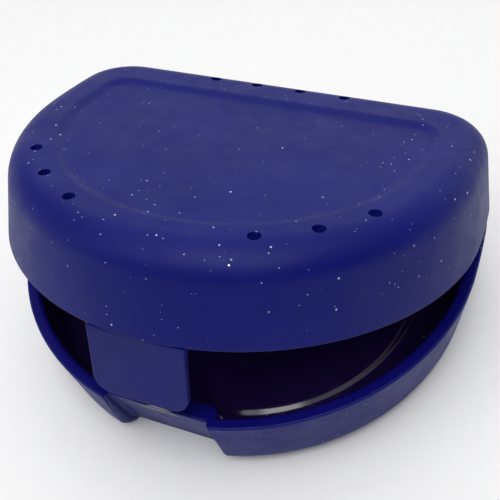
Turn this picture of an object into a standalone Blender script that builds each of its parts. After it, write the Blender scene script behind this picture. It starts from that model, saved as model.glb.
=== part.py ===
"""Hinged retainer case: a D-shaped base, a vented lid, two pinned hinges and a front latch tab.

Metres, +Z up. X runs along the hinge and the front faces -Y. The origin is the centre of the
base's flat underside. The lid is modelled shut and then hung on the hinge axis, ajar.
"""

from math import atan, atan2, cos, pi, radians, sin, sqrt

import bmesh
import bpy
from mathutils import Matrix, Vector

# Case outline at the parting line
CASE_WIDTH = 0.0830
SIDE_DEPTH = 0.0229
CORNER_RADIUS = 0.0127
SIDE_RADIUS = 0.1500
WALL = 0.0022
RIM_EDGE_RADIUS = 0.00035
RIM_INNER_RADIUS = 0.0008
PARTING_GAP = 0.0001

# Base
BASE_HEIGHT = 0.0150
BASE_EDGE_RADIUS = 0.0044
BASE_INNER_RADIUS = 0.0034
BASE_FLOOR = 0.0018
BASE_DRAFT_SHARE = 0.150

# Finger recess in the base's front wall, and the housing behind it
RECESS_WIDTH = 0.0177
RECESS_TOP_DEPTH = 0.00195
RECESS_BOTTOM_DEPTH = 0.00646
RECESS_CORNER_RADIUS = 0.0010
RECESS_CORNER_SHARE = 0.40
RECESS_MOUTH_RADIUS = 0.0011
RECESS_MOUTH_SHARE = 0.50
RECESS_LIP = 0.0006
HOUSING_TOP_DEPTH = 0.0050
HOUSING_END_WALL = 0.0010
HOUSING_CORNER_RADIUS = 0.0015

# Lid
LID_HEIGHT = 0.0149
LID_SHOULDER_RADIUS = 0.0054
LID_INNER_RADIUS = 0.0036
LID_DRAFT_SHARE = 0.152
LID_OPEN_ANGLE = radians(16.0)

# Sunk panel in the lid's top, and the raised one inside the base
PANEL_INSET = 0.0104
PANEL_BACK_INSET = 0.0122
PANEL_CORNER_RADIUS = 0.0040
PANEL_DEPTH = 0.0007
PANEL_SLOPE = 0.0022

# Vent holes: one row along the back and one arc on each side of the front
VENT_DIAMETER = 0.0020
VENT_BACK_INSET = 0.0062
VENT_BACK_COUNT = 4
VENT_BACK_PITCH = 0.0084
VENT_ARC_INSET = 0.0069
VENT_ARC_COUNT = 3
VENT_ARC_START = radians(25.3)
VENT_ARC_PITCH = radians(15.0)

# Hinges
HINGE_SPACING = 0.0360
HINGE_SETBACK = 0.0004
KNUCKLE_RADIUS = 0.0023
KNUCKLE_LENGTH = 0.0080
EAR_LENGTH = 0.0030
PIN_DIAMETER = 0.0019
PIN_CHAMFER = 0.0003
RUNNING_GAP = 0.0003

# Latch tab under the lid's front rim
TAB_WIDTH = 0.0160
TAB_TIP_WIDTH = 0.0160
TAB_LENGTH = 0.0123
TAB_FACE_DEPTH = 0.00040
TAB_ROOT_THICKNESS = 0.00135
TAB_TIP_THICKNESS = 0.00115
TAB_TIP_RADIUS = 0.0026
TAB_TIP_BOW = 0.0004
TAB_EDGE_RADIUS = 0.00025
TAB_ROOT_GAP = 0.0003
RIDGE_DROP = 0.0026
RIDGE_HEIGHT = 0.00025
RIDGE_RADIUS = 0.0006
RIDGE_LENGTH = 0.0120

# Cutters run this far past what they cut
OVERRUN = 0.0020

# Facets
CORNER_STEPS = 8
SIDE_STEPS = 2
FRONT_STEPS = 20
BEND_STEPS = 6
EDGE_STEPS = 2
INNER_EDGE_STEPS = 3
MOUTH_STEPS = 4
SLOPE_STEPS = 4
ROUND_STEPS = 24
VENT_STEPS = 16
TIP_STEPS = 5
SMOOTH_ANGLE = radians(35)

# Derived places
HALF_WIDTH = CASE_WIDTH / 2
CASE_DEPTH = SIDE_DEPTH + HALF_WIDTH
BACK_Y = CASE_DEPTH / 2
FRONT_Y = -CASE_DEPTH / 2
LID_RIM_Z = BASE_HEIGHT + PARTING_GAP
LID_TOP_Z = LID_RIM_Z + LID_HEIGHT
HINGE_AXIS = Vector((0, BACK_Y + HINGE_SETBACK, BASE_HEIGHT + PARTING_GAP / 2))
HINGE_SIDES = {"left": -1, "right": 1}
BORE_RADIUS = PIN_DIAMETER / 2 + RUNNING_GAP
NOTCH_RADIUS = KNUCKLE_RADIUS + RUNNING_GAP
EAR_OFFSET = (KNUCKLE_LENGTH + EAR_LENGTH) / 2 + RUNNING_GAP


def clear_scene():
    """Start from an empty scene."""
    for thing in list(bpy.data.objects):
        bpy.data.objects.remove(thing, do_unlink=True)


def plastic(name, colour, roughness):
    """One moulded plastic."""
    material = bpy.data.materials.new(name)
    material.use_nodes = True
    shader = material.node_tree.nodes["Principled BSDF"]
    shader.inputs["Base Color"].default_value = (*colour, 1)
    shader.inputs["Roughness"].default_value = roughness
    shader.inputs["Metallic"].default_value = 0
    return material


def steel(name, colour, roughness):
    """The pins' metal."""
    material = plastic(name, colour, roughness)
    material.node_tree.nodes["Principled BSDF"].inputs["Metallic"].default_value = 1
    return material


def spread(start, end, steps):
    """Evenly spaced values from start to end, both included."""
    return [start + (end - start) * i / steps for i in range(steps + 1)]


def d_outline(half_width, side_depth, corner_radius, side_radius, inset):
    """A D from the middle of its back, at y = 0, round by +X and back again.

    The front is a half circle, the sides are slightly bowed and the back's corners are round.
    """
    front_y = -side_depth
    side_x = half_width - side_radius
    rise = -corner_radius - front_y
    run = sqrt((side_radius - corner_radius) ** 2 - rise**2)
    join = atan2(rise, run)
    arcs = (
        (side_x + run, -corner_radius, corner_radius, pi / 2, join, CORNER_STEPS),
        (side_x, front_y, side_radius, join, 0, SIDE_STEPS),
        (0, front_y, half_width, 0, -pi / 2, FRONT_STEPS),
    )
    half = [(0, -inset), (side_x + run, -inset)]
    for x, y, radius, start, end, steps in arcs:
        for angle in spread(start, end, steps)[1:]:
            half.append((x + (radius - inset) * cos(angle), y + (radius - inset) * sin(angle)))
    return half + [(-x, y) for x, y in half[-2:0:-1]]


def case_ring(inset, z):
    """The case's outline drawn in by inset, at height z."""
    outline = d_outline(HALF_WIDTH, SIDE_DEPTH, CORNER_RADIUS, SIDE_RADIUS, inset)
    return [Vector((x, BACK_Y + y, z)) for x, y in outline]


def panel_ring(inset, z):
    """A panel's outline drawn in by inset, at height z."""
    outline = d_outline(
        HALF_WIDTH - PANEL_INSET,
        SIDE_DEPTH - PANEL_BACK_INSET,
        PANEL_CORNER_RADIUS,
        SIDE_RADIUS - PANEL_INSET,
        inset,
    )
    return [Vector((x, BACK_Y - PANEL_BACK_INSET + y, z)) for x, y in outline]


def panel_steps(z, rise):
    """The soft step from height z at a panel's border to z + rise inside it."""
    rings = []
    for share in spread(0, 1, SLOPE_STEPS):
        height = z + rise * (1 - cos(pi * share)) / 2
        rings.append(panel_ring(PANEL_SLOPE * (share - 1 / 2), height))
    return rings


def bend(inset, z, radius, start, end, steps):
    """Points (inset, z) round a bend about a centre; angle 0 points out of the case, 90 degrees up."""
    return [(inset - radius * cos(a), z + radius * sin(a)) for a in spread(start, end, steps)]


def mesh_object(name, mesh_bm, material=None):
    """An object from a bmesh, with its faces pointing out and round parts shaded smooth."""
    bmesh.ops.recalc_face_normals(mesh_bm, faces=mesh_bm.faces)
    mesh = bpy.data.meshes.new(name)
    mesh_bm.to_mesh(mesh)
    mesh_bm.free()
    mesh.shade_smooth()
    mesh.set_sharp_from_angle(angle=SMOOTH_ANGLE)
    thing = bpy.data.objects.new(name, mesh)
    bpy.context.scene.collection.objects.link(thing)
    if material is not None:
        mesh.materials.append(material)
    return thing


def loft(name, rings, material=None):
    """A closed solid through rings of as many points each, capped at both ends."""
    mesh_bm = bmesh.new()
    loops = [[mesh_bm.verts.new(point) for point in ring] for ring in rings]
    for low, high in zip(loops, loops[1:]):
        for i in range(len(low)):
            j = (i + 1) % len(low)
            mesh_bm.faces.new((low[i], low[j], high[j], high[i]))
    mesh_bm.faces.new(loops[0])
    mesh_bm.faces.new(loops[-1])
    return mesh_object(name, mesh_bm, material)


def prism_x(name, profile, x_low, x_high, material=None):
    """A profile of (y, z) points pulled along X."""
    return loft(name, [[Vector((x, y, z)) for y, z in profile] for x in (x_low, x_high)], material)


def disc(centre, radius, steps):
    """A circle of (y, z) points about centre."""
    turns = [2 * pi * i / steps for i in range(steps)]
    return [(centre.y + radius * cos(a), centre.z + radius * sin(a)) for a in turns]


def as_cutter(thing):
    """Mark an object as a cutter, which is no piece of the case."""
    thing.hide_render = True
    thing.display_type = "WIRE"
    return thing


def combine(target, other, operation):
    """Add a Boolean modifier to target."""
    modifier = target.modifiers.new(f"{operation.title()} {other.name}", "BOOLEAN")
    modifier.operation = operation
    modifier.solver = "EXACT"
    modifier.object = other


def cut(target, other):
    """Cut other out of target."""
    combine(target, as_cutter(other), "DIFFERENCE")


def fuse(target, other):
    """Mould other onto target."""
    combine(target, as_cutter(other), "UNION")


def base_outer():
    """The base's outer form, from its flat underside up to its rim."""
    lean = atan(BASE_DRAFT_SHARE)
    foot = BASE_EDGE_RADIUS
    foot_inset = foot * cos(lean) + BASE_DRAFT_SHARE * (BASE_HEIGHT - foot * (1 - sin(lean)))
    edge = RIM_EDGE_RADIUS
    profile = bend(foot_inset, foot, foot, -pi / 2, -lean, BEND_STEPS)
    profile += bend(edge, BASE_HEIGHT - edge, edge, 0, pi / 2, EDGE_STEPS)
    return [case_ring(inset, z) for inset, z in profile]


def base_inner():
    """The base's hollow, from its floor's raised panel up past its rim."""
    lean = atan(BASE_DRAFT_SHARE)
    bowl = BASE_INNER_RADIUS
    drop = BASE_HEIGHT - BASE_FLOOR - bowl * (1 - sin(lean))
    bowl_inset = WALL + bowl * cos(lean) + BASE_DRAFT_SHARE * drop
    edge = RIM_INNER_RADIUS
    profile = bend(bowl_inset, BASE_FLOOR + bowl, bowl, -pi / 2, -lean, BEND_STEPS)
    profile += bend(WALL - edge, BASE_HEIGHT - edge, -edge, 0, -pi / 2, INNER_EDGE_STEPS)
    profile.append((WALL - edge, BASE_HEIGHT + OVERRUN))
    panel = panel_steps(BASE_FLOOR, PANEL_DEPTH)
    return panel[::-1] + [case_ring(inset, z) for inset, z in profile]


def recess_depth(z):
    """How far the recess's sloping face lies behind the case's front at height z."""
    fall = (BASE_HEIGHT - z) / BASE_HEIGHT
    return RECESS_TOP_DEPTH + (RECESS_BOTTOM_DEPTH - RECESS_TOP_DEPTH) * fall


def base_wall_y(x, z):
    """Where the base's front wall lies at x, beside the middle, and height z."""
    lean = atan(BASE_DRAFT_SHARE)
    foot = BASE_EDGE_RADIUS
    inset = BASE_DRAFT_SHARE * (BASE_HEIGHT - z)
    foot_top = foot * (1 - sin(lean))
    if z < foot_top:
        inset = BASE_DRAFT_SHARE * (BASE_HEIGHT - foot_top) + foot * cos(lean)
        inset -= sqrt(foot**2 - (foot - z) ** 2)
    radius = HALF_WIDTH - inset
    return FRONT_Y + HALF_WIDTH - sqrt(radius**2 - x**2)


def slot_ring(z, half, inner_y, corner, mouth, mouth_y):
    """The plan of a slot that opens to the front, with round inner corners and a rounded mouth."""
    right = [(half + mouth, FRONT_Y - OVERRUN)]
    for angle in spread(3 * pi / 2, pi, MOUTH_STEPS):
        right.append((half + mouth + mouth * cos(angle), mouth_y + mouth + mouth * sin(angle)))
    for angle in spread(0, pi / 2, EDGE_STEPS + 1):
        right.append((half - corner + corner * cos(angle), inner_y - corner + corner * sin(angle)))
    points = right + [(-x, y) for x, y in reversed(right)]
    return [Vector((x, y, z)) for x, y in points]


def recess_ring(z, grow):
    """The recess's plan at height z."""
    half = RECESS_WIDTH / 2
    inner_y = FRONT_Y + recess_depth(z) + grow
    wall_y = base_wall_y(half + RECESS_MOUTH_RADIUS, max(z, 0))
    depth = max(inner_y - wall_y, RECESS_LIP)
    corner = min(RECESS_CORNER_RADIUS, RECESS_CORNER_SHARE * depth)
    mouth = min(RECESS_MOUTH_RADIUS, RECESS_MOUTH_SHARE * depth)
    return slot_ring(z, half, inner_y, corner, mouth, inner_y - depth)


def recess_cutter():
    """The finger recess, with a sloping lip where it meets the rim."""
    lean = atan(BASE_DRAFT_SHARE)
    foot = BASE_EDGE_RADIUS
    rings = [recess_ring(-OVERRUN, 0)]
    for _, z in bend(0, foot, foot, -pi / 2, -lean, BEND_STEPS):
        rings.append(recess_ring(z, 0))
    rings.append(recess_ring(BASE_HEIGHT - RECESS_LIP, 0))
    rings.append(recess_ring(BASE_HEIGHT, RECESS_LIP))
    rings.append(recess_ring(BASE_HEIGHT + OVERRUN, RECESS_LIP + OVERRUN))
    return loft("recess_cutter", rings)


def recess_housing():
    """The block that backs the recess inside the base; it's kept out of the hollow."""
    half = RECESS_WIDTH / 2 + HOUSING_END_WALL
    floor_depth = recess_depth(BASE_FLOOR) + WALL
    rings = []
    for z, depth in ((0, floor_depth), (BASE_FLOOR, floor_depth), (BASE_HEIGHT, HOUSING_TOP_DEPTH)):
        corner = HOUSING_CORNER_RADIUS
        rings.append(slot_ring(z, half, FRONT_Y + depth, corner, RECESS_LIP, FRONT_Y - OVERRUN / 2))
    return loft("recess_housing", rings)


def hinge_disc(name, x, length, radius):
    """A disc or barrel on the hinge axis, centred at x."""
    return prism_x(name, disc(HINGE_AXIS, radius, ROUND_STEPS), x - length / 2, x + length / 2)


def pin_bore(name, x):
    """The bore for one hinge's pin."""
    reach = 2 * EAR_OFFSET + EAR_LENGTH + OVERRUN
    return hinge_disc(name, x, reach, BORE_RADIUS)


def make_base(material):
    """The bottom half: shell, finger recess and the ears that carry the hinge pins."""
    base = loft("base_shell", base_outer(), material)
    hollow = loft("base_hollow", base_inner())
    cut(hollow, recess_housing())
    cut(base, hollow)
    cut(base, recess_cutter())
    for side, sign in HINGE_SIDES.items():
        x = sign * HINGE_SPACING / 2
        notch = hinge_disc(f"base_notch_{side}", x, KNUCKLE_LENGTH + 2 * RUNNING_GAP, NOTCH_RADIUS)
        for end in (-1, 1):
            ear = hinge_disc(f"ear_{side}_{end}", x + end * EAR_OFFSET, EAR_LENGTH, KNUCKLE_RADIUS)
            fuse(base, ear)
        cut(base, notch)
        cut(base, pin_bore(f"base_bore_{side}", x))
    return base


def lid_outer():
    """The lid's outer form, from its rim up over its shoulder and down into its sunk panel."""
    lean = atan(LID_DRAFT_SHARE)
    top = LID_SHOULDER_RADIUS
    top_inset = top * cos(lean) + LID_DRAFT_SHARE * (LID_HEIGHT - top * (1 - sin(lean)))
    edge = RIM_EDGE_RADIUS
    profile = bend(edge, LID_RIM_Z + edge, edge, -pi / 2, 0, EDGE_STEPS)
    profile += bend(top_inset, LID_TOP_Z - top, top, lean, pi / 2, BEND_STEPS)
    return [case_ring(inset, z) for inset, z in profile] + panel_steps(LID_TOP_Z, -PANEL_DEPTH)


def lid_inner():
    """The lid's hollow, from below its rim up to its ceiling."""
    lean = atan(LID_DRAFT_SHARE)
    bowl = LID_INNER_RADIUS
    rise = LID_HEIGHT - WALL - bowl * (1 - sin(lean))
    bowl_inset = WALL + bowl * cos(lean) + LID_DRAFT_SHARE * rise
    edge = RIM_INNER_RADIUS
    profile = [(WALL - edge, LID_RIM_Z - OVERRUN)]
    profile += bend(WALL - edge, LID_RIM_Z + edge, -edge, pi / 2, 0, INNER_EDGE_STEPS)
    profile += bend(bowl_inset, LID_TOP_Z - WALL - bowl, bowl, lean, pi / 2, BEND_STEPS)
    rings = [case_ring(inset, z) for inset, z in profile]
    return rings + panel_steps(LID_TOP_Z - WALL, -PANEL_DEPTH)


def vent_places():
    """The vent holes' centres, as (x, y)."""
    middle = (VENT_BACK_COUNT - 1) / 2
    places = []
    for i in range(VENT_BACK_COUNT):
        places.append(((i - middle) * VENT_BACK_PITCH, BACK_Y - VENT_BACK_INSET))
    radius = HALF_WIDTH - VENT_ARC_INSET
    for i in range(VENT_ARC_COUNT):
        angle = VENT_ARC_START + i * VENT_ARC_PITCH
        y = FRONT_Y + HALF_WIDTH - radius * cos(angle)
        places += [(-radius * sin(angle), y), (radius * sin(angle), y)]
    return places


def vent_cutter():
    """All the vent drills in one cutter."""
    mesh_bm = bmesh.new()
    length = WALL + PANEL_DEPTH + 2 * OVERRUN
    for x, y in vent_places():
        place = Matrix.Translation((x, y, LID_TOP_Z + OVERRUN - length / 2))
        bmesh.ops.create_cone(
            mesh_bm,
            cap_ends=True,
            segments=VENT_STEPS,
            radius1=VENT_DIAMETER / 2,
            radius2=VENT_DIAMETER / 2,
            depth=length,
            matrix=place,
        )
    return mesh_object("vent_cutter", mesh_bm)


def make_lid(material):
    """The top half: shell, sunk panel, vents and the knuckles that turn on the pins."""
    lid = loft("lid_shell", lid_outer(), material)
    cut(lid, loft("lid_hollow", lid_inner()))
    cut(lid, vent_cutter())
    for side, sign in HINGE_SIDES.items():
        x = sign * HINGE_SPACING / 2
        fuse(lid, hinge_disc(f"knuckle_{side}", x, KNUCKLE_LENGTH, KNUCKLE_RADIUS))
        for end in (-1, 1):
            ear_space = EAR_LENGTH + 2 * RUNNING_GAP
            name = f"lid_notch_{side}_{end}"
            cut(lid, hinge_disc(name, x + end * EAR_OFFSET, ear_space, NOTCH_RADIUS))
        cut(lid, pin_bore(f"lid_bore_{side}", x))
    return lid


def make_pin(side, material):
    """One hinge pin, chamfered at both ends and flush with its ears."""
    x = HINGE_SIDES[side] * HINGE_SPACING / 2
    half = EAR_OFFSET + EAR_LENGTH / 2
    radius = PIN_DIAMETER / 2
    sections = (
        (-half, radius - PIN_CHAMFER),
        (-half + PIN_CHAMFER, radius),
        (half - PIN_CHAMFER, radius),
        (half, radius - PIN_CHAMFER),
    )
    middle = Vector((x, HINGE_AXIS.y, HINGE_AXIS.z))
    rings = []
    for along, size in sections:
        points = disc(Vector((0, 0, 0)), size, ROUND_STEPS)
        rings.append([Vector((along, y, z)) for y, z in points])
    pin = loft(f"hinge_pin_{side}", rings, material)
    pin.location = middle
    return pin


def tab_outline():
    """The tab's front view: tapered sides, round lower corners and a slightly bowed tip."""
    top_z = -TAB_ROOT_GAP
    tip_z = -TAB_LENGTH
    slope = (TAB_WIDTH - TAB_TIP_WIDTH) / 2 / TAB_LENGTH
    corner_z = tip_z + TAB_TIP_RADIUS
    corner_x = TAB_WIDTH / 2 + slope * corner_z - TAB_TIP_RADIUS
    right = [(TAB_WIDTH / 2 + slope * top_z, top_z)]
    for angle in spread(0, -pi / 2, TIP_STEPS):
        x = corner_x + TAB_TIP_RADIUS * cos(angle)
        bow = TAB_TIP_BOW * (1 - (x / (TAB_WIDTH / 2)) ** 2)
        right.append((x, corner_z + TAB_TIP_RADIUS * sin(angle) - bow))
    right.append((corner_x / 2, tip_z - TAB_TIP_BOW * (1 - (corner_x / TAB_WIDTH) ** 2)))
    return right + [(0, tip_z - TAB_TIP_BOW)] + [(-x, z) for x, z in reversed(right)]


def tab_thickness(z):
    """The tab thins from its root at z = 0 to its tip."""
    return TAB_ROOT_THICKNESS + (TAB_TIP_THICKNESS - TAB_ROOT_THICKNESS) * (-z / TAB_LENGTH)


def make_tab(material):
    """The springy latch tab, with its origin on the line where it bends under the lid's rim."""
    hinge = Vector((0, FRONT_Y + TAB_FACE_DEPTH + TAB_ROOT_THICKNESS / 2, LID_RIM_Z))
    face_y = FRONT_Y + TAB_FACE_DEPTH - hinge.y
    front = [Vector((x, face_y, z)) for x, z in tab_outline()]
    back = [Vector((x, face_y + tab_thickness(z), z)) for x, z in tab_outline()]
    tab = loft("latch_tab", (front, back), material)
    bevel = tab.modifiers.new("Soft edges", "BEVEL")
    bevel.width = TAB_EDGE_RADIUS
    bevel.segments = EDGE_STEPS
    bevel.limit_method = "ANGLE"
    back_y = face_y + tab_thickness(-RIDGE_DROP)
    centre = Vector((0, back_y + RIDGE_HEIGHT - RIDGE_RADIUS, -RIDGE_DROP))
    ridge_profile = disc(centre, RIDGE_RADIUS, VENT_STEPS)
    ridge = prism_x("tab_ridge", ridge_profile, -RIDGE_LENGTH / 2, RIDGE_LENGTH / 2)
    fuse(tab, ridge)
    for thing in (tab, ridge):
        thing.location = hinge
    return tab


def hang_on_hinge(pieces):
    """Turn the pieces about the hinge axis, from shut to ajar."""
    pivot = bpy.data.objects.new("lid_pivot", None)
    bpy.context.scene.collection.objects.link(pivot)
    pivot.location = HINGE_AXIS
    for piece in pieces:
        piece.location = piece.location - HINGE_AXIS
        piece.parent = pivot
    pivot.rotation_euler = (-LID_OPEN_ANGLE, 0, 0)


def main():
    clear_scene()
    blue = plastic("blue_plastic", (0.016, 0.016, 0.20), 0.45)
    tab_blue = plastic("tab_plastic", (0.018, 0.018, 0.21), 0.45)
    pin_steel = steel("pin_steel", (0.60, 0.60, 0.62), 0.30)
    make_base(blue)
    for side in HINGE_SIDES:
        make_pin(side, pin_steel)
    lid = make_lid(blue)
    lid_cutters = [modifier.object for modifier in lid.modifiers]
    tab = make_tab(tab_blue)
    tab_cutters = [modifier.object for modifier in tab.modifiers if modifier.type == "BOOLEAN"]
    hang_on_hinge([lid, *lid_cutters, tab, *tab_cutters])


main()
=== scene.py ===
"""The retainer case in blue moulded plastic with sparse glitter, on a pale floor in soft light.

Metres, +Z up, in the frame's own axes: X along the hinge, the rounded front faces -Y. Each shell is
lofted finely as one closed body in its shut place, and the lid and tab are then turned ajar.
"""

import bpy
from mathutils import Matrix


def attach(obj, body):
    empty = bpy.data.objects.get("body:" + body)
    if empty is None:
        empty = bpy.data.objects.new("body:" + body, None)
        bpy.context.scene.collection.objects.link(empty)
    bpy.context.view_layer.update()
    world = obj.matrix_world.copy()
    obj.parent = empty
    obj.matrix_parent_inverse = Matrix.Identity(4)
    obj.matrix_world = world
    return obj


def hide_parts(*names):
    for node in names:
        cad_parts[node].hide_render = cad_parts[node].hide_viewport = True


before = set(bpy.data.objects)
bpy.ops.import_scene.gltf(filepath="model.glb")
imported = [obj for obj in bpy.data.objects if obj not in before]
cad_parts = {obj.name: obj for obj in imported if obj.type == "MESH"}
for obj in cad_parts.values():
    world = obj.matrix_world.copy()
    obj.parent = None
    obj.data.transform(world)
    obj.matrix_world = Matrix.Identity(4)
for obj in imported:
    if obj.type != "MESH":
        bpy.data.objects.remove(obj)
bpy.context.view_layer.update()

from math import atan, atan2, cos, pi, radians, sin, sqrt

import bmesh
import bpy
from mathutils import Euler, Matrix, Vector

# Case outline at the parting line
CASE_WIDTH = 0.0830
SIDE_DEPTH = 0.0229
CORNER_RADIUS = 0.0127
SIDE_RADIUS = 0.1500
WALL = 0.0022
RIM_EDGE_RADIUS = 0.00035
RIM_INNER_RADIUS = 0.0008
PARTING_GAP = 0.0001

# Base
BASE_HEIGHT = 0.0150
BASE_EDGE_RADIUS = 0.0044
BASE_INNER_RADIUS = 0.0034
BASE_FLOOR = 0.0018
BASE_DRAFT_SHARE = 0.150

# Finger recess and the housing behind it
RECESS_WIDTH = 0.0177
RECESS_TOP_DEPTH = 0.00195
RECESS_BOTTOM_DEPTH = 0.00646
RECESS_CORNER_RADIUS = 0.0010
RECESS_CORNER_SHARE = 0.40
RECESS_MOUTH_RADIUS = 0.0011
RECESS_MOUTH_SHARE = 0.50
RECESS_LIP = 0.0006
HOUSING_TOP_DEPTH = 0.0050
HOUSING_END_WALL = 0.0010
HOUSING_CORNER_RADIUS = 0.0015
HOUSING_EDGE = 0.0003

# Lid
LID_HEIGHT = 0.0149
LID_SHOULDER_RADIUS = 0.0054
LID_INNER_RADIUS = 0.0036
LID_DRAFT_SHARE = 0.152
LID_OPEN_ANGLE = radians(16.0)

# Sunk panel in the lid's top, and the raised one inside the base
PANEL_INSET = 0.0104
PANEL_BACK_INSET = 0.0122
PANEL_CORNER_RADIUS = 0.0040
PANEL_DEPTH = 0.0007
PANEL_SLOPE = 0.0022

# Vent holes
VENT_DIAMETER = 0.0020
VENT_EDGE = 0.00006
VENT_BACK_INSET = 0.0062
VENT_BACK_COUNT = 4
VENT_BACK_PITCH = 0.0084
VENT_ARC_INSET = 0.0069
VENT_ARC_COUNT = 3
VENT_ARC_START = radians(25.3)
VENT_ARC_PITCH = radians(15.0)

# Hinges
HINGE_SPACING = 0.0360
HINGE_SETBACK = 0.0004
KNUCKLE_RADIUS = 0.0023
KNUCKLE_LENGTH = 0.0080
KNUCKLE_EDGE = 0.0002
EAR_LENGTH = 0.0030
PIN_DIAMETER = 0.0019
PIN_EDGE = 0.0003
RUNNING_GAP = 0.0003

# Latch tab
TAB_WIDTH = 0.0160
TAB_TIP_WIDTH = 0.0160
TAB_LENGTH = 0.0123
TAB_FACE_DEPTH = 0.00040
TAB_ROOT_THICKNESS = 0.00135
TAB_TIP_THICKNESS = 0.00115
TAB_TIP_RADIUS = 0.0026
TAB_TIP_BOW = 0.0004
TAB_EDGE_RADIUS = 0.00025
TAB_ROOT_GAP = 0.00006
RIDGE_DROP = 0.0026
RIDGE_HEIGHT = 0.00025
RIDGE_RADIUS = 0.0006
RIDGE_LENGTH = 0.0120

# Cutters run this far past what they cut
OVERRUN = 0.0020

# Facets
BACK_STEPS = 40
CORNER_STEPS = 18
SIDE_STEPS = 12
FRONT_STEPS = 110
BEND_STEPS = 12
EDGE_STEPS = 5
WALL_STEPS = 10
SLOPE_STEPS = 14
ROUND_STEPS = 64
VENT_STEPS = 48
MOUTH_STEPS = 8
TIP_STEPS = 12
SMOOTH_ANGLE = radians(28)
FACE_WEIGHT = 60

# Camera, fitted to the photograph; the principal point is in pixels of its 500 x 500 frame
FRAME_PIXELS = 500
FOCAL_PIXELS = 844.379
CENTRE_PIXELS = (236.671, 240.189)
CAMERA_PLACE = Vector((0.05179, -0.08356, 0.12900))
CAMERA_AZIMUTH = radians(30.44)
CAMERA_ELEVATION = radians(47.667)
CAMERA_ROLL = radians(-11.19)
SENSOR_WIDTH = 36.0
CLIP_START = 0.001

# Light is placed by its azimuth to the right of the front and its elevation, in degrees.
# Bright parts of the surroundings: azimuth, elevation, angles where it is full and where it ends,
# and strength
SKY_GLOWS = (
    (210, 12, 10, 35, 0.70),
    (165, 12, 10, 35, 1.00),
    (115, 12, 10, 35, 0.17),
    (255, 12, 10, 35, 0.24),
    (300, 12, 10, 35, 0.55),
    (210, 48, 12, 38, 0.70),
    (120, 48, 12, 38, 0.32),
    (300, 48, 12, 38, 0.28),
    (0, 90, 15, 40, 1.40),
)
# Softboxes: name, azimuth, elevation, width and height in metres, and power in watts
SOFTBOXES = (("key", 32, 66, 0.16, 0.48, 1.40), ("side", 330, 55, 0.40, 0.40, 0.70))
SOFTBOX_DISTANCE = 0.65

# Floor
FLOOR_REACH = 30 * CASE_WIDTH
FLOOR_SPECKLE_SCALE = 400
FLOOR_SHADES = ((0.92, 0.92, 0.92, 1), (0.96, 0.96, 0.96, 1))
FLOOR_ROUGHNESS = 0.9
FLOOR_REFLECTION = 0.1

# Plastics. The reflection is the shader's specular level, the grain is the height of the mould's
# texture in metres, and the glitter is the share of cells that hold a flake.
SATIN_BLUE = {
    "colour": (0.0022, 0.0056, 0.158),
    "deep_colour": (0.0018, 0.0046, 0.130),
    "roughness": (0.42, 0.56),
    "reflection": 0.19,
    "grain": 0.000012,
    "glitter": 0.15,
}
# The rim's copy: a glossier finish, and a blue kept well above the inside's as painted glow of light
# carried through the thin plastic edge
RIM_PAINTED_GLOW_BLUE = {
    "colour": (0.006, 0.005, 0.140),
    "deep_colour": (0.004, 0.004, 0.120),
    "roughness": (0.22, 0.32),
    "reflection": 0.06,
    "grain": 0.000003,
    "glitter": 0.03,
}
# The inside's copy: a polished finish, and a darker, more purple colour that is painted shade for the
# shadow over the hollow
POLISHED_PAINTED_SHADE_BLUE = {
    "colour": (0.018, 0.007, 0.070),
    "deep_colour": (0.014, 0.006, 0.056),
    "roughness": (0.09, 0.15),
    "reflection": 0.45,
    "grain": 0.000003,
    "glitter": 0.03,
}
TAB_BLUE = {
    "colour": (0.0024, 0.0060, 0.145),
    "deep_colour": (0.0020, 0.0050, 0.120),
    "roughness": (0.44, 0.56),
    "reflection": 0.20,
    "grain": 0.000012,
    "glitter": 0.01,
}
PLASTIC_IOR = 1.49

# Texture scales in cycles per metre
CLOUD_SCALE = 70
PIGMENT_SCALE = 900
SMEAR_SCALE = 160
GRAIN_SCALE = 4200
WAVE_SCALE = 220
CLOUD_SHARE = 0.6
WAVE_HEIGHT_SHARE = 2.5

# Glitter: cells per metre, a flake's size in its cell, the part of the plastic's glitter share
# that holds here, and brightness, which scales each flake's painted glint
FLAKES = ((900, 0.16, 1.0, 1.0), (1700, 0.20, 0.5, 0.6))
FLAKE_FALL_OFF = 2.2
FLAKE_COLOUR = (0.75, 0.90, 1.0, 1)
FLAKE_METAL = 0.8

# Pin steel
STEEL = (0.62, 0.62, 0.64)
STEEL_DARK_SHARE = 0.7
STEEL_LINE_STRETCH = (0.05, 1, 1)
STEEL_LINE_SCALE = 9000
STEEL_LINE_HEIGHT = 0.00001

# Derived places
HALF_WIDTH = CASE_WIDTH / 2
CASE_DEPTH = SIDE_DEPTH + HALF_WIDTH
BACK_Y = CASE_DEPTH / 2
FRONT_Y = -CASE_DEPTH / 2
LID_RIM_Z = BASE_HEIGHT + PARTING_GAP
LID_TOP_Z = LID_RIM_Z + LID_HEIGHT
HINGE_AXIS = Vector((0, BACK_Y + HINGE_SETBACK, BASE_HEIGHT + PARTING_GAP / 2))
HINGE_SIDES = {"left": -1, "right": 1}
BORE_RADIUS = PIN_DIAMETER / 2 + RUNNING_GAP
NOTCH_RADIUS = KNUCKLE_RADIUS + RUNNING_GAP
EAR_OFFSET = (KNUCKLE_LENGTH + EAR_LENGTH) / 2 + RUNNING_GAP

# Material slots of a shell: the outside, the rim with painted glow, and the inside with painted shade
OUTSIDE = 0
RIM = 1
INSIDE = 2


def spread(start, end, steps):
    """Evenly spaced values from start to end, both included."""
    return [start + (end - start) * i / steps for i in range(steps + 1)]


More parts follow.
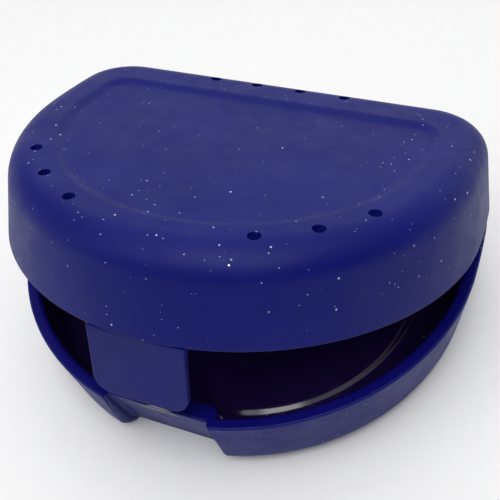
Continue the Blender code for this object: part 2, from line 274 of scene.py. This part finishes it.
def d_outline(half_width, side_depth, corner_radius, side_radius, inset):
    """A D from the middle of its back, at y = 0, round by +X and back again."""
    front_y = -side_depth
    side_x = half_width - side_radius
    rise = -corner_radius - front_y
    run = sqrt((side_radius - corner_radius) ** 2 - rise**2)
    join = atan2(rise, run)
    arcs = (
        (side_x + run, -corner_radius, corner_radius, pi / 2, join, CORNER_STEPS),
        (side_x, front_y, side_radius, join, 0, SIDE_STEPS),
        (0, front_y, half_width, 0, -pi / 2, FRONT_STEPS // 2),
    )
    half = [(x, -inset) for x in spread(0, side_x + run, BACK_STEPS // 2)]
    for x, y, radius, start, end, steps in arcs:
        for angle in spread(start, end, steps)[1:]:
            half.append((x + (radius - inset) * cos(angle), y + (radius - inset) * sin(angle)))
    return half + [(-x, y) for x, y in half[-2:0:-1]]


def case_ring(inset, z):
    """The case's outline drawn in by inset, at height z."""
    outline = d_outline(HALF_WIDTH, SIDE_DEPTH, CORNER_RADIUS, SIDE_RADIUS, inset)
    return [Vector((x, BACK_Y + y, z)) for x, y in outline]


def panel_ring(inset, z):
    """A panel's outline drawn in by inset, at height z."""
    outline = d_outline(
        HALF_WIDTH - PANEL_INSET,
        SIDE_DEPTH - PANEL_BACK_INSET,
        PANEL_CORNER_RADIUS,
        SIDE_RADIUS - PANEL_INSET,
        inset,
    )
    return [Vector((x, BACK_Y - PANEL_BACK_INSET + y, z)) for x, y in outline]


def panel_steps(z, rise):
    """The soft step from height z at a panel's border to z + rise inside it."""
    rings = []
    for share in spread(0, 1, SLOPE_STEPS):
        height = z + rise * (1 - cos(pi * share)) / 2
        rings.append(panel_ring(PANEL_SLOPE * (share - 1 / 2), height))
    return rings


def bend(inset, z, radius, start, end, steps):
    """Points (inset, z) round a bend about a centre; angle 0 points out of the case, 90 degrees up."""
    return [(inset - radius * cos(a), z + radius * sin(a)) for a in spread(start, end, steps)]


def filled(profile, steps):
    """The profile with the long run between its two halves split into steps."""
    (first, second) = profile
    (inset_a, z_a), (inset_b, z_b) = first[-1], second[0]
    between = list(zip(spread(inset_a, inset_b, steps), spread(z_a, z_b, steps)))
    return first + between[1:-1] + second


def mesh_object(name, mesh_bm, materials=()):
    """An object from a bmesh, with its faces pointing out."""
    bmesh.ops.recalc_face_normals(mesh_bm, faces=mesh_bm.faces)
    mesh = bpy.data.meshes.new(name)
    mesh_bm.to_mesh(mesh)
    mesh_bm.free()
    thing = bpy.data.objects.new(name, mesh)
    bpy.context.scene.collection.objects.link(thing)
    for material in materials:
        mesh.materials.append(material)
    return thing


def loft(name, rings, materials=(), starts=(), part=OUTSIDE):
    """A closed solid through rings of as many points each, capped at both ends.

    Each of starts is a pair (ring, slot): strips from that ring on take that slot's material.
    """
    slots = [part] * len(rings)
    for first, slot in starts:
        slots[first:] = [slot] * (len(rings) - first)
    mesh_bm = bmesh.new()
    loops = [[mesh_bm.verts.new(point) for point in ring] for ring in rings]
    for k, (low, high) in enumerate(zip(loops, loops[1:])):
        for i in range(len(low)):
            j = (i + 1) % len(low)
            face = mesh_bm.faces.new((low[i], low[j], high[j], high[i]))
            face.material_index = slots[k]
    mesh_bm.faces.new(loops[0]).material_index = slots[0]
    mesh_bm.faces.new(loops[-1]).material_index = slots[-1]
    return mesh_object(name, mesh_bm, materials)


def boolean(target, other, operation):
    """Cut other out of target or mould it onto it, and use other up."""
    modifier = target.modifiers.new("Boolean", "BOOLEAN")
    modifier.operation = operation
    modifier.solver = "EXACT"
    modifier.object = other
    bake(target)
    bpy.data.objects.remove(other, do_unlink=True)


def bake(thing):
    """Apply all modifiers of an object."""
    bpy.context.view_layer.update()
    evaluated = thing.evaluated_get(bpy.context.evaluated_depsgraph_get())
    mesh = bpy.data.meshes.new_from_object(evaluated)
    thing.modifiers.clear()
    old = thing.data
    thing.data = mesh
    mesh.name = thing.name
    bpy.data.meshes.remove(old)


def finish_surface(thing, turn=None):
    """Turn the mesh into its place and shade it smooth between its sharp edges."""
    if turn is not None:
        thing.data.transform(turn)
    thing.data.shade_smooth()
    thing.data.set_sharp_from_angle(angle=SMOOTH_ANGLE)
    weighted = thing.modifiers.new("Even shading", "WEIGHTED_NORMAL")
    weighted.keep_sharp = True
    weighted.weight = FACE_WEIGHT
    bake(thing)


def base_profile_outer():
    """The base's outer wall, from its underside up to its rim's flat."""
    lean = atan(BASE_DRAFT_SHARE)
    foot = BASE_EDGE_RADIUS
    foot_inset = foot * cos(lean) + BASE_DRAFT_SHARE * (BASE_HEIGHT - foot * (1 - sin(lean)))
    edge = RIM_EDGE_RADIUS
    foot_bend = bend(foot_inset, foot, foot, -pi / 2, -lean, BEND_STEPS)
    rim_bend = bend(edge, BASE_HEIGHT - edge, edge, 0, pi / 2, EDGE_STEPS)
    return filled((foot_bend, rim_bend), WALL_STEPS)


def base_profile_inner():
    """The base's inner wall, from its rim's flat down to its floor."""
    lean = atan(BASE_DRAFT_SHARE)
    bowl = BASE_INNER_RADIUS
    drop = BASE_HEIGHT - BASE_FLOOR - bowl * (1 - sin(lean))
    bowl_inset = WALL + bowl * cos(lean) + BASE_DRAFT_SHARE * drop
    edge = RIM_INNER_RADIUS
    rim_bend = bend(WALL - edge, BASE_HEIGHT - edge, -edge, -pi / 2, 0, EDGE_STEPS)
    bowl_bend = bend(bowl_inset, BASE_FLOOR + bowl, bowl, -lean, -pi / 2, BEND_STEPS)
    return filled((rim_bend, bowl_bend), WALL_STEPS)


def recess_depth(z):
    """How far the recess's sloping face lies behind the case's front at height z."""
    fall = (BASE_HEIGHT - z) / BASE_HEIGHT
    return RECESS_TOP_DEPTH + (RECESS_BOTTOM_DEPTH - RECESS_TOP_DEPTH) * fall


def base_wall_y(x, z):
    """Where the base's front wall lies at x, beside the middle, and height z."""
    lean = atan(BASE_DRAFT_SHARE)
    foot = BASE_EDGE_RADIUS
    inset = BASE_DRAFT_SHARE * (BASE_HEIGHT - z)
    foot_top = foot * (1 - sin(lean))
    if z < foot_top:
        inset = BASE_DRAFT_SHARE * (BASE_HEIGHT - foot_top) + foot * cos(lean)
        inset -= sqrt(foot**2 - (foot - z) ** 2)
    radius = HALF_WIDTH - inset
    return FRONT_Y + HALF_WIDTH - sqrt(radius**2 - x**2)


def slot_ring(z, half, inner_y, corner, mouth, mouth_y):
    """The plan of a slot that opens to the front, with round inner corners and a rounded mouth."""
    right = [(half + mouth, FRONT_Y - OVERRUN)]
    for angle in spread(3 * pi / 2, pi, MOUTH_STEPS):
        right.append((half + mouth + mouth * cos(angle), mouth_y + mouth + mouth * sin(angle)))
    for angle in spread(0, pi / 2, MOUTH_STEPS):
        right.append((half - corner + corner * cos(angle), inner_y - corner + corner * sin(angle)))
    points = right + [(-x, y) for x, y in reversed(right)]
    return [Vector((x, y, z)) for x, y in points]


def recess_ring(z, grow):
    """The recess's plan at height z."""
    half = RECESS_WIDTH / 2
    inner_y = FRONT_Y + recess_depth(z) + grow
    wall_y = base_wall_y(half + RECESS_MOUTH_RADIUS, max(z, 0))
    depth = max(inner_y - wall_y, RECESS_LIP)
    corner = min(RECESS_CORNER_RADIUS, RECESS_CORNER_SHARE * depth)
    mouth = min(RECESS_MOUTH_RADIUS, RECESS_MOUTH_SHARE * depth)
    return slot_ring(z, half, inner_y, corner, mouth, inner_y - depth)


def recess_cutter(materials):
    """The finger recess, with a round lip where it meets the rim."""
    rings = [recess_ring(-OVERRUN, 0)]
    rings += [recess_ring(z, 0) for z in spread(0, BASE_HEIGHT - RECESS_LIP, 2 * WALL_STEPS)]
    for angle in spread(0, pi / 2, EDGE_STEPS)[1:]:
        z = BASE_HEIGHT - RECESS_LIP * (1 - sin(angle))
        rings.append(recess_ring(z, RECESS_LIP * (1 - cos(angle))))
    rings.append(recess_ring(BASE_HEIGHT + OVERRUN, RECESS_LIP + OVERRUN))
    return loft("recess_cutter", rings, materials)


def recess_housing(materials):
    """The block that backs the recess inside the base."""
    half = RECESS_WIDTH / 2 + HOUSING_END_WALL
    floor_depth = recess_depth(BASE_FLOOR) + WALL
    sections = [(z, 0) for z in spread(BASE_FLOOR / 2, BASE_HEIGHT - HOUSING_EDGE, WALL_STEPS)]
    for angle in spread(0, pi / 2, EDGE_STEPS)[1:]:
        z = BASE_HEIGHT - HOUSING_EDGE * (1 - sin(angle))
        sections.append((z, HOUSING_EDGE * (1 - cos(angle))))
    rings = []
    for z, shrink in sections:
        fall = min((BASE_HEIGHT - z) / (BASE_HEIGHT - BASE_FLOOR), 1)
        depth = HOUSING_TOP_DEPTH + (floor_depth - HOUSING_TOP_DEPTH) * fall
        wide = half - shrink
        front = base_wall_y(half, z) + WALL / 2
        back = FRONT_Y + depth - shrink
        corner = HOUSING_CORNER_RADIUS - shrink
        right = [(wide, front)]
        for angle in spread(0, pi / 2, MOUTH_STEPS):
            right.append((wide - corner + corner * cos(angle), back - corner + corner * sin(angle)))
        points = right + [(-x, y) for x, y in reversed(right)]
        rings.append([Vector((x, y, z)) for x, y in points])
    # The housing takes the inside's copy with painted shade; its rounded top edge and top take the
    # rim's copy with painted glow
    return loft("recess_housing", rings, materials, ((WALL_STEPS, RIM),), part=INSIDE)


def disc(centre, radius, steps):
    """A circle of (y, z) points about centre."""
    turns = [2 * pi * i / steps for i in range(steps)]
    return [(centre.y + radius * cos(a), centre.z + radius * sin(a)) for a in turns]


def barrel(name, x, length, radius, edge=0, materials=(), centre=HINGE_AXIS):
    """A round bar along X, centred at x, with softly broken ends."""
    half = length / 2
    sections = [(-half, radius), (half, radius)]
    if edge:
        sections = []
        for angle in spread(0, pi / 2, EDGE_STEPS):
            sections.append((-half + edge * (1 - sin(angle)), radius - edge * (1 - cos(angle))))
        sections = sections[::-1] + [(-along, size) for along, size in sections]
    rings = []
    for along, size in sections:
        rings.append([Vector((x + along, y, z)) for y, z in disc(centre, size, ROUND_STEPS)])
    return loft(name, rings, materials)


def make_base(materials):
    """The bottom half: shell, finger recess, its housing and the ears that carry the pins."""
    outer = base_profile_outer()
    rings = [case_ring(inset, z) for inset, z in outer + base_profile_inner()]
    rings += panel_steps(BASE_FLOOR, PANEL_DEPTH)
    # Strips from the rim on take the rim's copy with painted glow, and those past the rim take the
    # inside's copy with painted shade
    starts = ((len(outer) - 1, RIM), (len(outer) + EDGE_STEPS, INSIDE))
    base = loft("base_shell_look", rings, materials, starts)
    boolean(base, recess_housing(materials), "UNION")
    boolean(base, recess_cutter(materials), "DIFFERENCE")
    for sign in HINGE_SIDES.values():
        x = sign * HINGE_SPACING / 2
        for end in (-1, 1):
            ear_x = x + end * EAR_OFFSET
            ear = barrel("ear", ear_x, EAR_LENGTH, KNUCKLE_RADIUS, KNUCKLE_EDGE, materials)
            boolean(base, ear, "UNION")
        notch = barrel("notch", x, KNUCKLE_LENGTH + 2 * RUNNING_GAP, NOTCH_RADIUS, 0, materials)
        boolean(base, notch, "DIFFERENCE")
        reach = 2 * EAR_OFFSET + EAR_LENGTH + OVERRUN
        boolean(base, barrel("bore", x, reach, BORE_RADIUS, 0, materials), "DIFFERENCE")
    finish_surface(base)
    return base


def lid_profile_outer():
    """The lid's outer wall, from its top down to its rim's flat."""
    lean = atan(LID_DRAFT_SHARE)
    top = LID_SHOULDER_RADIUS
    top_inset = top * cos(lean) + LID_DRAFT_SHARE * (LID_HEIGHT - top * (1 - sin(lean)))
    edge = RIM_EDGE_RADIUS
    shoulder = bend(top_inset, LID_TOP_Z - top, top, pi / 2, lean, BEND_STEPS)
    rim_bend = bend(edge, LID_RIM_Z + edge, edge, 0, -pi / 2, EDGE_STEPS)
    return filled((shoulder, rim_bend), WALL_STEPS)


def lid_profile_inner():
    """The lid's inner wall, from its rim's flat up to its ceiling."""
    lean = atan(LID_DRAFT_SHARE)
    bowl = LID_INNER_RADIUS
    rise = LID_HEIGHT - WALL - bowl * (1 - sin(lean))
    bowl_inset = WALL + bowl * cos(lean) + LID_DRAFT_SHARE * rise
    edge = RIM_INNER_RADIUS
    rim_bend = bend(WALL - edge, LID_RIM_Z + edge, -edge, pi / 2, 0, EDGE_STEPS)
    bowl_bend = bend(bowl_inset, LID_TOP_Z - WALL - bowl, bowl, lean, pi / 2, BEND_STEPS)
    return filled((rim_bend, bowl_bend), WALL_STEPS)


def vent_places():
    """The vent holes' centres, as (x, y)."""
    middle = (VENT_BACK_COUNT - 1) / 2
    places = []
    for i in range(VENT_BACK_COUNT):
        places.append(((i - middle) * VENT_BACK_PITCH, BACK_Y - VENT_BACK_INSET))
    radius = HALF_WIDTH - VENT_ARC_INSET
    for i in range(VENT_ARC_COUNT):
        angle = VENT_ARC_START + i * VENT_ARC_PITCH
        y = FRONT_Y + HALF_WIDTH - radius * cos(angle)
        places += [(-radius * sin(angle), y), (radius * sin(angle), y)]
    return places


def shoulder_drop(x, y):
    """How far the lid's top has fallen at (x, y), on its round shoulder."""
    if y < BACK_Y - SIDE_DEPTH:
        inset = HALF_WIDTH - sqrt(x**2 + (y - FRONT_Y - HALF_WIDTH) ** 2)
    else:
        inset = BACK_Y - y
    top_inset, _ = lid_profile_outer()[0]
    past = max(top_inset - inset, 0)
    return LID_SHOULDER_RADIUS - sqrt(LID_SHOULDER_RADIUS**2 - past**2)


def vent_cutter(x, y, materials):
    """One vent's drill, with a softly broken edge where it comes out of the top."""
    top = LID_TOP_Z - shoulder_drop(x, y)
    radius = VENT_DIAMETER / 2
    sections = [(LID_TOP_Z - WALL - PANEL_DEPTH - OVERRUN, radius), (top - VENT_EDGE, radius)]
    for angle in spread(0, pi / 2, EDGE_STEPS)[1:]:
        z = top - VENT_EDGE * (1 - sin(angle))
        sections.append((z, radius + VENT_EDGE * (1 - cos(angle))))
    sections.append((top + OVERRUN, radius + VENT_EDGE + OVERRUN / 4))
    turns = [2 * pi * i / VENT_STEPS for i in range(VENT_STEPS)]
    rings = []
    for z, size in sections:
        rings.append([Vector((x + size * cos(a), y + size * sin(a), z)) for a in turns])
    return loft("vent_cutter", rings, materials)


def make_lid(materials, turn):
    """The top half: shell, sunk panel, vents and the knuckles that turn on the pins."""
    outer = lid_profile_outer()
    top = panel_steps(LID_TOP_Z, -PANEL_DEPTH)[::-1]
    rings = top + [case_ring(inset, z) for inset, z in outer + lid_profile_inner()]
    rings += panel_steps(LID_TOP_Z - WALL, -PANEL_DEPTH)
    rim = len(top) + len(outer) - 1
    # Strips from the rim on take the rim's copy with painted glow, and those past the rim take the
    # inside's copy with painted shade
    starts = ((rim, RIM), (rim + 1 + EDGE_STEPS, INSIDE))
    lid = loft("lid_shell_look", rings, materials, starts)
    for x, y in vent_places():
        boolean(lid, vent_cutter(x, y, materials), "DIFFERENCE")
    for sign in HINGE_SIDES.values():
        x = sign * HINGE_SPACING / 2
        knuckle = barrel("knuckle", x, KNUCKLE_LENGTH, KNUCKLE_RADIUS, KNUCKLE_EDGE, materials)
        boolean(lid, knuckle, "UNION")
        for end in (-1, 1):
            ear_space = EAR_LENGTH + 2 * RUNNING_GAP
            notch = barrel("notch", x + end * EAR_OFFSET, ear_space, NOTCH_RADIUS, 0, materials)
            boolean(lid, notch, "DIFFERENCE")
        reach = 2 * EAR_OFFSET + EAR_LENGTH + OVERRUN
        boolean(lid, barrel("bore", x, reach, BORE_RADIUS, 0, materials), "DIFFERENCE")
    finish_surface(lid, turn)
    return lid


def make_pin(side, material):
    """One hinge pin, with rounded ends flush with its ears."""
    x = HINGE_SIDES[side] * HINGE_SPACING / 2
    length = 2 * EAR_OFFSET + EAR_LENGTH
    pin = barrel(f"hinge_pin_{side}_look", x, length, PIN_DIAMETER / 2, PIN_EDGE, (material,))
    finish_surface(pin)
    return pin


def tab_outline():
    """The tab's front view: tapered sides, round lower corners and a slightly bowed tip."""
    top_z = -TAB_ROOT_GAP
    tip_z = -TAB_LENGTH
    slope = (TAB_WIDTH - TAB_TIP_WIDTH) / 2 / TAB_LENGTH
    corner_z = tip_z + TAB_TIP_RADIUS
    corner_x = TAB_WIDTH / 2 + slope * corner_z - TAB_TIP_RADIUS
    right = [(TAB_WIDTH / 2 + slope * top_z, top_z)]
    for angle in spread(0, -pi / 2, TIP_STEPS):
        x = corner_x + TAB_TIP_RADIUS * cos(angle)
        bow = TAB_TIP_BOW * (1 - (x / (TAB_WIDTH / 2)) ** 2)
        right.append((x, corner_z + TAB_TIP_RADIUS * sin(angle) - bow))
    for x in spread(corner_x, 0, TIP_STEPS)[1:-1]:
        right.append((x, tip_z - TAB_TIP_BOW * (1 - (x / (TAB_WIDTH / 2)) ** 2)))
    return right + [(0, tip_z - TAB_TIP_BOW)] + [(-x, z) for x, z in reversed(right)]


def tab_thickness(z):
    """The tab thins from its root at z = 0 to its tip."""
    return TAB_ROOT_THICKNESS + (TAB_TIP_THICKNESS - TAB_ROOT_THICKNESS) * (-z / TAB_LENGTH)


def make_tab(material, turn):
    """The springy latch tab under the lid's front rim."""
    face_y = FRONT_Y + TAB_FACE_DEPTH
    front = [Vector((x, face_y, LID_RIM_Z + z)) for x, z in tab_outline()]
    back = [Vector((x, face_y + tab_thickness(z), LID_RIM_Z + z)) for x, z in tab_outline()]
    tab = loft("latch_tab_look", (front, back), (material,))
    soften = tab.modifiers.new("Soft edges", "BEVEL")
    soften.width = TAB_EDGE_RADIUS
    soften.segments = EDGE_STEPS
    soften.limit_method = "ANGLE"
    bake(tab)
    ridge_y = face_y + tab_thickness(-RIDGE_DROP) + RIDGE_HEIGHT - RIDGE_RADIUS
    centre = Vector((0, ridge_y, LID_RIM_Z - RIDGE_DROP))
    ridge = barrel("ridge", 0, RIDGE_LENGTH, RIDGE_RADIUS, KNUCKLE_EDGE, (material,), centre)
    boolean(tab, ridge, "UNION")
    finish_surface(tab, turn)
    return tab


def add_node(tree, kind, **settings):
    """A new shader node with these settings."""
    node = tree.nodes.new(kind)
    for key, value in settings.items():
        setattr(node, key, value)
    return node


def plug(tree, value, socket):
    """Link an output to an input, or set the input to a plain value."""
    if isinstance(value, bpy.types.NodeSocket):
        tree.links.new(value, socket)
    else:
        socket.default_value = value


def noise(tree, coords, scale, detail=2, roughness=0.5):
    """A noise texture's value."""
    node = add_node(tree, "ShaderNodeTexNoise")
    plug(tree, coords, node.inputs["Vector"])
    node.inputs["Scale"].default_value = scale
    node.inputs["Detail"].default_value = detail
    node.inputs["Roughness"].default_value = roughness
    return node.outputs["Fac"]


def remap(tree, value, low, high, new_low, new_high, smooth=False):
    """The value moved from one range to another and held inside it."""
    node = add_node(tree, "ShaderNodeMapRange")
    if smooth:
        node.interpolation_type = "SMOOTHSTEP"
    plug(tree, value, node.inputs["Value"])
    node.inputs["From Min"].default_value = low
    node.inputs["From Max"].default_value = high
    node.inputs["To Min"].default_value = new_low
    node.inputs["To Max"].default_value = new_high
    return node.outputs["Result"]


def calculate(tree, operation, a, b):
    """One step of arithmetic."""
    node = add_node(tree, "ShaderNodeMath", operation=operation)
    plug(tree, a, node.inputs[0])
    plug(tree, b, node.inputs[1])
    return node.outputs["Value"]


def blend_colours(tree, share, a, b):
    """Colour a going over to colour b."""
    node = add_node(tree, "ShaderNodeMix", data_type="RGBA")
    plug(tree, share, node.inputs["Factor"])
    plug(tree, a, node.inputs["A"])
    plug(tree, b, node.inputs["B"])
    return node.outputs["Result"]


def bump(tree, height, distance, strength, normal=None):
    """A bump of that height laid over an earlier one."""
    node = add_node(tree, "ShaderNodeBump")
    node.inputs["Strength"].default_value = strength
    node.inputs["Distance"].default_value = distance
    plug(tree, height, node.inputs["Height"])
    if normal is not None:
        plug(tree, normal, node.inputs["Normal"])
    return node.outputs["Normal"]


def flecks(tree, coords, scale, size, rarity):
    """Glitter flakes: a mask of small dots, and a random painted glint for each that stands in for its
    tilt.
    """
    cells = add_node(tree, "ShaderNodeTexVoronoi", feature="F1")
    plug(tree, coords, cells.inputs["Vector"])
    cells.inputs["Scale"].default_value = scale
    split = add_node(tree, "ShaderNodeSeparateColor")
    plug(tree, cells.outputs["Color"], split.inputs["Color"])
    dot = remap(tree, cells.outputs["Distance"], size * 0.7, size, 1, 0)
    chosen = remap(tree, split.outputs["Red"], rarity, rarity + 0.01, 0, 1)
    # Each flake's random brightness is a painted glint, standing in for how a tilted flake catches the
    # light
    glow = calculate(tree, "POWER", split.outputs["Green"], FLAKE_FALL_OFF)
    return calculate(tree, "MULTIPLY", dot, chosen), glow


def moulded_plastic(name, colour, deep_colour, roughness, reflection, grain, glitter):
    """Pigmented plastic with cloudy colour, mould grain, faint scuffs and embedded glitter with
    painted glint.
    """
    material = bpy.data.materials.new(name)
    material.use_nodes = True
    tree = material.node_tree
    shader = tree.nodes["Principled BSDF"]
    coords = add_node(tree, "ShaderNodeTexCoord").outputs["Object"]

    clouds = remap(tree, noise(tree, coords, CLOUD_SCALE, 3), 0.35, 0.65, 0, 1, smooth=True)
    pigment = remap(tree, noise(tree, coords, PIGMENT_SCALE, 3, 0.6), 0.3, 0.7, 0, 1)
    cloud_part = calculate(tree, "MULTIPLY", clouds, CLOUD_SHARE)
    pigment_part = calculate(tree, "MULTIPLY", pigment, 1 - CLOUD_SHARE)
    tone = calculate(tree, "ADD", cloud_part, pigment_part)
    body = blend_colours(tree, tone, (*deep_colour, 1), (*colour, 1))

    flake_and_painted_glint = 0.0
    for scale, size, share, brightness in FLAKES:
        mask, glow = flecks(tree, coords, scale, size, 1 - glitter * share)
        shine = calculate(tree, "MULTIPLY", mask, glow)
        shine = calculate(tree, "MULTIPLY", shine, brightness)
        flake_and_painted_glint = calculate(tree, "MAXIMUM", flake_and_painted_glint, shine)
    # Flakes turn the colour pale and metallic by their painted glint
    body = blend_colours(tree, flake_and_painted_glint, body, FLAKE_COLOUR)
    metal = calculate(tree, "MULTIPLY", flake_and_painted_glint, FLAKE_METAL)
    smears = remap(tree, noise(tree, coords, SMEAR_SCALE, 4, 0.65), 0.35, 0.7, *roughness)
    plug(tree, body, shader.inputs["Base Color"])
    plug(tree, smears, shader.inputs["Roughness"])
    plug(tree, metal, shader.inputs["Metallic"])
    shader.inputs["IOR"].default_value = PLASTIC_IOR
    shader.inputs["Specular IOR Level"].default_value = reflection

    fine = bump(tree, noise(tree, coords, GRAIN_SCALE, 3, 0.6), grain, 0.35)
    waves = noise(tree, coords, WAVE_SCALE, 2)
    normal = bump(tree, waves, grain * WAVE_HEIGHT_SHARE, 0.15, fine)
    plug(tree, normal, shader.inputs["Normal"])
    return material


def drawn_steel(name, colour):
    """Pin steel with lines drawn along its length."""
    material = bpy.data.materials.new(name)
    material.use_nodes = True
    tree = material.node_tree
    shader = tree.nodes["Principled BSDF"]
    coords = add_node(tree, "ShaderNodeTexCoord").outputs["Object"]
    stretch = add_node(tree, "ShaderNodeMapping")
    stretch.inputs["Scale"].default_value = STEEL_LINE_STRETCH
    plug(tree, coords, stretch.inputs["Vector"])
    lines = noise(tree, stretch.outputs["Vector"], STEEL_LINE_SCALE, 4, 0.7)
    dark = tuple(channel * STEEL_DARK_SHARE for channel in colour)
    tone = blend_colours(tree, lines, (*dark, 1), (*colour, 1))
    plug(tree, tone, shader.inputs["Base Color"])
    plug(tree, remap(tree, lines, 0.3, 0.7, 0.2, 0.38), shader.inputs["Roughness"])
    shader.inputs["Metallic"].default_value = 1
    plug(tree, bump(tree, lines, STEEL_LINE_HEIGHT, 0.5), shader.inputs["Normal"])
    return material


def make_floor():
    """A plain pale floor that keeps the case's shadow."""
    mesh_bm = bmesh.new()
    bmesh.ops.create_grid(mesh_bm, x_segments=1, y_segments=1, size=FLOOR_REACH)
    floor = mesh_object("floor", mesh_bm)
    material = bpy.data.materials.new("pale_floor")
    material.use_nodes = True
    tree = material.node_tree
    shader = tree.nodes["Principled BSDF"]
    coords = add_node(tree, "ShaderNodeTexCoord").outputs["Object"]
    speckle = noise(tree, coords, FLOOR_SPECKLE_SCALE, 3)
    plug(tree, blend_colours(tree, speckle, *FLOOR_SHADES), shader.inputs["Base Color"])
    shader.inputs["Roughness"].default_value = FLOOR_ROUGHNESS
    shader.inputs["Specular IOR Level"].default_value = FLOOR_REFLECTION
    floor.data.materials.append(material)


def aim(azimuth, elevation):
    """The direction with that azimuth to the right of the front and that elevation, in degrees."""
    turn, rise = radians(azimuth), radians(elevation)
    return Vector((sin(turn) * cos(rise), -cos(turn) * cos(rise), sin(rise)))


def area_light(name, place, target, size, power):
    """An oblong soft light at place, aimed at target."""
    lamp = bpy.data.lights.new(name, "AREA")
    lamp.shape = "RECTANGLE"
    lamp.size, lamp.size_y = size
    lamp.energy = power
    thing = bpy.data.objects.new(name, lamp)
    thing.location = place
    thing.rotation_euler = (target - place).to_track_quat("-Z", "Y").to_euler()
    bpy.context.scene.collection.objects.link(thing)


def light_studio():
    """Surroundings with soft glows, white to the camera, and softboxes."""
    world = bpy.data.worlds.new("studio")
    bpy.context.scene.world = world
    world.use_nodes = True
    tree = world.node_tree
    background = tree.nodes["Background"]
    coords = add_node(tree, "ShaderNodeTexCoord").outputs["Generated"]
    level = 0.0
    for azimuth, elevation, inner, outer, strength in SKY_GLOWS:
        towards = add_node(tree, "ShaderNodeVectorMath", operation="DOT_PRODUCT")
        plug(tree, coords, towards.inputs[0])
        towards.inputs[1].default_value = aim(azimuth, elevation)
        edges = (cos(radians(outer)), cos(radians(inner)))
        glow = remap(tree, towards.outputs["Value"], *edges, 0, strength, smooth=True)
        level = calculate(tree, "ADD", level, glow)
    path = add_node(tree, "ShaderNodeLightPath")
    seen = calculate(tree, "MAXIMUM", level, path.outputs["Is Camera Ray"])
    plug(tree, seen, background.inputs["Strength"])
    background.inputs["Color"].default_value = (1, 1, 1, 1)

    target = Vector((0, 0, LID_TOP_Z / 2))
    for name, azimuth, elevation, width, height, power in SOFTBOXES:
        place = target + SOFTBOX_DISTANCE * aim(azimuth, elevation)
        area_light(name, place, target, (width, height), power)


def make_camera():
    """The camera as fitted to the photograph."""
    data = bpy.data.cameras.new("camera")
    camera = bpy.data.objects.new("camera", data)
    aim = Euler((pi / 2 - CAMERA_ELEVATION, 0, CAMERA_AZIMUTH)).to_matrix()
    camera.rotation_euler = (aim @ Matrix.Rotation(CAMERA_ROLL, 3, "Z")).to_euler()
    camera.location = CAMERA_PLACE
    data.sensor_width = SENSOR_WIDTH
    data.lens = SENSOR_WIDTH * FOCAL_PIXELS / FRAME_PIXELS
    data.shift_x = (FRAME_PIXELS / 2 - CENTRE_PIXELS[0]) / FRAME_PIXELS
    data.shift_y = (CENTRE_PIXELS[1] - FRAME_PIXELS / 2) / FRAME_PIXELS
    data.clip_start = CLIP_START
    bpy.context.scene.collection.objects.link(camera)
    bpy.context.scene.camera = camera


def main():
    """Build the case, its plastics, the floor, the light and the camera."""
    outside = moulded_plastic("satin_blue", **SATIN_BLUE)
    # The rim's copy of the plastic, with painted glow from light through its thin edge
    rim = moulded_plastic("rim_painted_glow_blue", **RIM_PAINTED_GLOW_BLUE)
    # The inside's copy of the plastic, darkened with painted shade
    inside = moulded_plastic("polished_painted_shade_blue", **POLISHED_PAINTED_SHADE_BLUE)
    tongue = moulded_plastic("tab_blue", **TAB_BLUE)
    metal = drawn_steel("pin_steel", STEEL)

    ajar = (
        Matrix.Translation(HINGE_AXIS)
        @ Matrix.Rotation(-LID_OPEN_ANGLE, 4, "X")
        @ Matrix.Translation(-HINGE_AXIS)
    )
    # One plastic in three copies: the outside, the rim with painted glow and the inside with painted
    # shade
    shell = (outside, rim, inside)
    pieces = (
        (make_base(shell), "base", "base_shell", "base_plastic"),
        (make_lid(shell, ajar), "lid", "lid_shell", "lid_plastic"),
        (make_tab(tongue, ajar), "tab", "latch_tab", "tab_plastic"),
        (make_pin("left", metal), "base", "hinge_pin_left", "pin_steel"),
        (make_pin("right", metal), "base", "hinge_pin_right", "pin_steel"),
    )
    for piece, body, node, finish in pieces:
        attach(piece, body)
        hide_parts(node)

    make_floor()
    light_studio()
    make_camera()
    bpy.context.scene.view_settings.view_transform = "Standard"


main()
